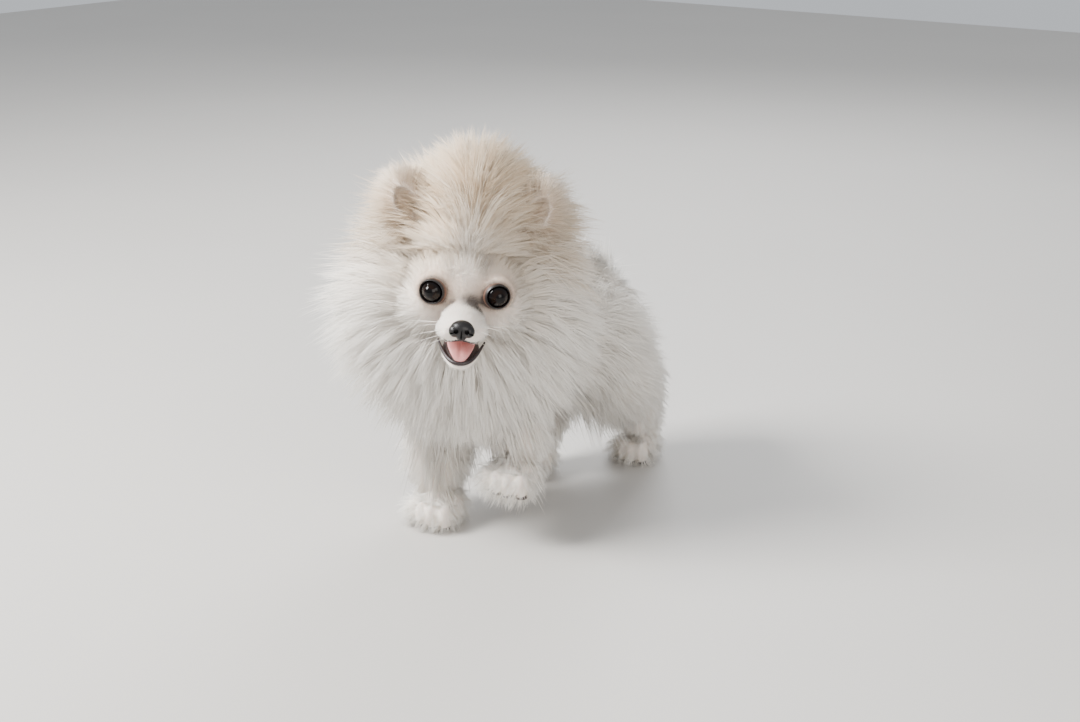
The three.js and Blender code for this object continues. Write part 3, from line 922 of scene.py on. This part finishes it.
def ground(piece):
    """The triangles of a piece that hair grows from, with what hair_lie says of its corners."""
    mesh = piece.data
    mesh.calc_loop_triangles()
    count = len(mesh.loop_triangles)
    corners = np.empty(count * 3, np.int32)
    mesh.loop_triangles.foreach_get("vertices", corners)
    loops = np.empty(count * 3, np.int32)
    mesh.loop_triangles.foreach_get("loops", loops)
    uv = np.empty(len(mesh.loops) * 2)
    mesh.uv_layers.active.data.foreach_get("uv", uv)
    normals = np.empty(len(mesh.vertices) * 3)
    mesh.vertices.foreach_get("normal", normals)
    points = mesh_points(mesh)
    normals = normals.reshape(-1, 3)
    corners = corners.reshape(-1, 3)
    a, b, c = (points[corners[:, k]] for k in range(3))
    area = np.linalg.norm(np.cross(b - a, c - a), axis=1) / 2
    lie, lift, length, owner, names = hair_lie(points, normals)
    return {
        "corners": corners, "area": area, "points": points, "normals": normals, "lie": lie,
        "lift": lift, "length": length, "region": np.array(names)[owner[corners[:, 0]]],
        "uv": uv.reshape(-1, 2)[loops].reshape(-1, 3, 2),
    }


SPIKE_SIDES = 3
BAKE_PATCH = 0.003
SPIKE_POINTS = 2 * SPIKE_SIDES + 1
spike_faces = [tuple(reversed(range(SPIKE_SIDES)))]
for k in range(SPIKE_SIDES):
    after = (k + 1) % SPIKE_SIDES
    spike_faces.append((k, after, after + SPIKE_SIDES, k + SPIKE_SIDES))
for k in range(SPIKE_SIDES):
    after = (k + 1) % SPIKE_SIDES
    spike_faces.append((k + SPIKE_SIDES, after + SPIKE_SIDES, SPIKE_POINTS - 1))
spike_patch = [(k % SPIKE_SIDES / 2, k // SPIKE_SIDES / 2) for k in range(2 * SPIKE_SIDES)]
spike_patch = np.array([*spike_patch, (0.5, 1.0)]) * BAKE_PATCH
# The middle of a hair is this much of its root's width. Its shading leans on the skin's own
# direction, so that a lock shades as one.
MIDDLE_WIDTH = 0.78
SKIN_SHARE = 0.75
SIDE_SHARE = 0.45
TIP_SHARE = 0.3
ROOT_DEPTH = 0.5
FRINGE = 0.011
ROOM = (np.array(cad_box[0]) - FRINGE, np.array(cad_box[1]) + FRINGE)
hair_seed = np.random.default_rng(11)


def spikes(name, path, width, normals, uv, colours):
    """One mesh of closed spikes along paths of three points, with its colours and its bake map."""
    count = len(path)
    along = unit(path[:, 2] - path[:, 0])
    across = unit(np.cross(along, normals) + 1e-6)
    upright = np.cross(along, across)
    rings = []
    blends = []
    for station, share in ((0, 1.0), (1, MIDDLE_WIDTH)):
        for k in range(SPIKE_SIDES):
            turn = 2 * math.pi * k / SPIKE_SIDES
            out = math.cos(turn) * across + math.sin(turn) * upright
            rings.append(path[:, station] + out * (width * share / 2)[:, None])
            blends.append(unit(SIDE_SHARE * out + SKIN_SHARE * normals))
    rings.append(path[:, 2])
    blends.append(unit(TIP_SHARE * along + SKIN_SHARE * normals))
    points = np.stack(rings, 1).reshape(-1, 3)
    mesh = bpy.data.meshes.new(name)
    mesh.vertices.add(len(points))
    mesh.vertices.foreach_set("co", points.astype(np.float32).ravel())
    sizes = np.array([len(f) for f in spike_faces])
    flat = np.concatenate([np.array(f) for f in spike_faces])
    loops = (np.arange(count)[:, None] * SPIKE_POINTS + flat[None]).ravel()
    mesh.loops.add(len(loops))
    mesh.loops.foreach_set("vertex_index", loops.astype(np.int32))
    starts = np.concatenate([[0], np.cumsum(sizes)[:-1]])
    starts = (np.arange(count)[:, None] * len(flat) + starts[None]).ravel()
    mesh.polygons.add(len(starts))
    mesh.polygons.foreach_set("loop_start", starts.astype(np.int32))
    mesh.update(calc_edges=True)
    patch = np.clip(uv[:, None] + spike_patch[flat][None] - BAKE_PATCH / 2, 0, 1)
    layer = mesh.uv_layers.new(name="OFBake")
    layer.data.foreach_set("uv", patch.astype(np.float32).ravel())
    heights = np.array([0.0] * SPIKE_SIDES + [0.5] * SPIKE_SIDES + [1.0])
    paint = np.repeat(colours[:, None], SPIKE_POINTS, 1)
    paint[:, :, 3] = heights
    store(mesh, "marks", paint.reshape(-1, 4))
    tone = np.repeat(hair_seed.random(count), SPIKE_POINTS)
    layer = mesh.attributes.new("tone", "FLOAT", "POINT")
    layer.data.foreach_set("value", tone.astype(np.float32))
    mesh.normals_split_custom_set_from_vertices(np.stack(blends, 1).reshape(-1, 3))
    piece = bpy.data.objects.new(name, mesh)
    bpy.context.collection.objects.link(piece)
    return piece


LOCK_LEAN = 0.2
HAIR_LEAN = 0.09
LONG_HAIR = 22
DROOP = 0.012
LOCK_PULL = (0.15, 0.45)
FINEST = 0.1
WIDTH_BY_LENGTH = 0.009
OFF_FLOOR = 0.4


def grow(name, soil, chosen, count, clumps):
    """Grows one piece of coat from the chosen triangles of a ground."""
    tri = np.flatnonzero(chosen)
    corner_length = soil["length"][soil["corners"][tri]].mean(1)
    share = soil["area"][tri] / (corner_length + 3) ** 0.75
    tri = tri[hair_seed.choice(len(tri), count, p=share / share.sum())]
    r1, r2 = hair_seed.random((2, count))
    r1 = np.sqrt(r1)
    bary = np.stack([1 - r1, r1 * (1 - r2), r1 * r2], 1)
    corners = soil["corners"][tri]

    def spread(values):
        return (values[corners] * bary[..., None]).sum(1)

    root = spread(soil["points"])
    normal = unit(spread(soil["normals"]))
    lie = unit(spread(soil["lie"]))
    lift = spread(soil["lift"][:, None])
    length = spread(soil["length"][:, None])[:, 0]
    uv = (soil["uv"][tri] * bary[..., None]).sum(1)
    flat = marks(root)
    keep = (flat[:, 3] < 0.3) & (root[:, 2] > 1.5 * MM)
    root, normal, lie, lift, length, uv, flat = (
        v[keep] for v in (root, normal, lie, lift, length, uv, flat)
    )
    count = len(root)
    guides = hair_seed.choice(count, min(clumps, count), replace=False)
    tree = KDTree(len(guides))
    for at, guide in enumerate(guides):
        tree.insert(root[guide], at)
    tree.balance()
    nearest = guides[np.array([tree.find(point)[1] for point in root])]
    lean = hair_seed.normal(0, LOCK_LEAN, (count, 3))[nearest]
    lean = lean + hair_seed.normal(0, HAIR_LEAN, (count, 3))
    lean *= 0.35 + 0.65 * np.minimum(1, length / LONG_HAIR)[:, None]
    start = unit(lie + lift * normal + lean)
    size = length * np.clip(hair_seed.normal(0.95, 0.12, count), 0.5, 1.15)
    size *= (1 + hair_seed.normal(0, 0.08, count))[nearest]
    droop = np.zeros((count, 3))
    droop[:, 2] = -DROOP * size
    end = unit(start + 0.35 * lie + droop + 0.6 * lean)
    path = np.stack([-normal * ROOT_DEPTH, start * (size * 0.5)[:, None], start * 0], 1)
    path[:, 2] = path[:, 1] + end * (size * 0.5)[:, None]
    lead = path[nearest] * (size / size[nearest])[:, None, None]
    offset = (root[nearest] - root) / MM
    for station, pull in enumerate(LOCK_PULL, 1):
        goal = offset * 0.9 + lead[:, station]
        path[:, station] += pull * (goal - path[:, station])
    path = root[:, None] + path * MM
    room = np.where(path[:, 2] > root, ROOM[1] - root, ROOM[0] - root) / (path[:, 2] - root)
    fit = np.clip(room.min(1), 0.2, 1)[:, None, None]
    path = root[:, None] + (path - root[:, None]) * fit
    path[:, :, 2] = np.maximum(path[:, :, 2], OFF_FLOOR * MM)
    width = (FINEST + WIDTH_BY_LENGTH * size) * MM
    return spikes(name, path, width, normal, uv, flat)


coat_hair = Finish("coat_hair")
hair_marks = coat_hair.attribute("marks")
hair_beige = coat_hair.node("ShaderNodeSeparateColor", Color=hair_marks)
hair_dark = Knob(coat_hair.tree, hair_beige.socket.node.outputs[1])
hair_tan = Knob(coat_hair.tree, hair_beige.socket.node.outputs[2])
height = coat_hair.attribute("marks", 3)
hair_tone = coat_hair.attribute("tone", 2)
ivory = coat_hair.mix(height, (0.84, 0.77, 0.68, 1), (0.96, 0.945, 0.91, 1))
ivory = coat_hair.mix(hair_tone * 0.4, ivory, (0.90, 0.85, 0.77, 1))
coat_hair.set(
    Base_Color=coat_colour(
        coat_hair,
        ivory,
        hair_beige * (0.7 + 0.5 * hair_tone),
        hair_dark * (0.6 + 0.7 * hair_tone),
        hair_tan,
    ),
    Roughness=0.5,
)
coat_hair.shader.inputs["Specular IOR Level"].default_value = 0.3

skin_soil = ground(skin)
middles = skin_soil["points"][skin_soil["corners"]].mean(1)
left_half = in_head(middles)[:, 0] > 0
EAR_HAIR = (12, 17)
# Each piece of coat: its name, its regions, which half of the head if only one, hairs and locks.
COAT = [
    ("coat_face_left", ("face",), True, 10500, 1400),
    ("coat_face_right", ("face",), False, 10500, 1400),
    ("coat_crown", ("crown",), None, 15000, 1400),
    ("coat_ruff_left", ("ruff",), True, 18500, 1800),
    ("coat_ruff_right", ("ruff",), False, 18500, 1800),
    ("coat_chest", ("chest",), None, 8500, 800),
    ("coat_back", ("back",), None, 8500, 700),
    ("coat_rump", ("rump",), None, 12000, 1000),
    ("coat_tail", ("tail",), None, 8000, 700),
    ("coat_forelegs", ("foreleg",), None, 9500, 500),
    ("coat_hindlegs", ("hindleg",), None, 9500, 500),
    ("coat_paws", ("paw",), None, 10500, 900),
]
for coat_name, regions, half, hairs, clumps in COAT:
    chosen = np.isin(skin_soil["region"], regions)
    if half is not None:
        chosen &= left_half == half
    piece = grow(coat_name, skin_soil, chosen, hairs, clumps)
    finished(piece, coat_hair, "paw" if coat_name == "coat_paws" else "coat")
jaw_soil = ground(jaw)
finished(grow("coat_chin", jaw_soil, jaw_soil["area"] > 0, 2200, 200), coat_hair, "paw")
for ear_name, leaf in ears.items():
    ear_soil = ground(leaf)
    ear_soil["length"][:] = np.clip(ear_soil["length"], *EAR_HAIR)
    piece = grow("coat_" + ear_name, ear_soil, ear_soil["area"] > 0, 4500, 500)
    finished(piece, coat_hair, "coat")

# The whiskers: stiff white hairs in two rows on each side of the muzzle, rooted on its skin. They
# are spikes of the coat's kind, longer and thicker than the hair round them.
WHISKERS = 7
WHISKER_WIDTH = 0.28
bristles = []
for side in (1, -1):
    for k in range(WHISKERS):
        row = k % 2
        base = Vector((side * (8 + 0.9 * k), -50 + 2.1 * k, -17.5 - 3.2 * row))
        base = gums.find_nearest(head_place @ base)[0]
        out = Vector((side * (0.8 + 0.05 * k), -0.35 + 0.12 * k, -0.1 - 0.25 * row)).normalized()
        reach = 15 + 1.6 * k
        middle = base + head_place.to_3x3() @ (out * reach * 0.5)
        tip = middle + head_place.to_3x3() @ (out * reach * 0.5 + Vector((0, 1.5, -1.5)))
        bristles.append([base, middle, tip])
bristles = np.array(bristles)
whiskers = spikes(
    "whiskers",
    bristles,
    np.full(len(bristles), WHISKER_WIDTH * MM),
    np.tile((0.0, 0.0, 1.0), (len(bristles), 1)),
    hair_seed.random((len(bristles), 2)),
    np.zeros((len(bristles), 4)),
)
finished(whiskers, coat_hair, "coat")
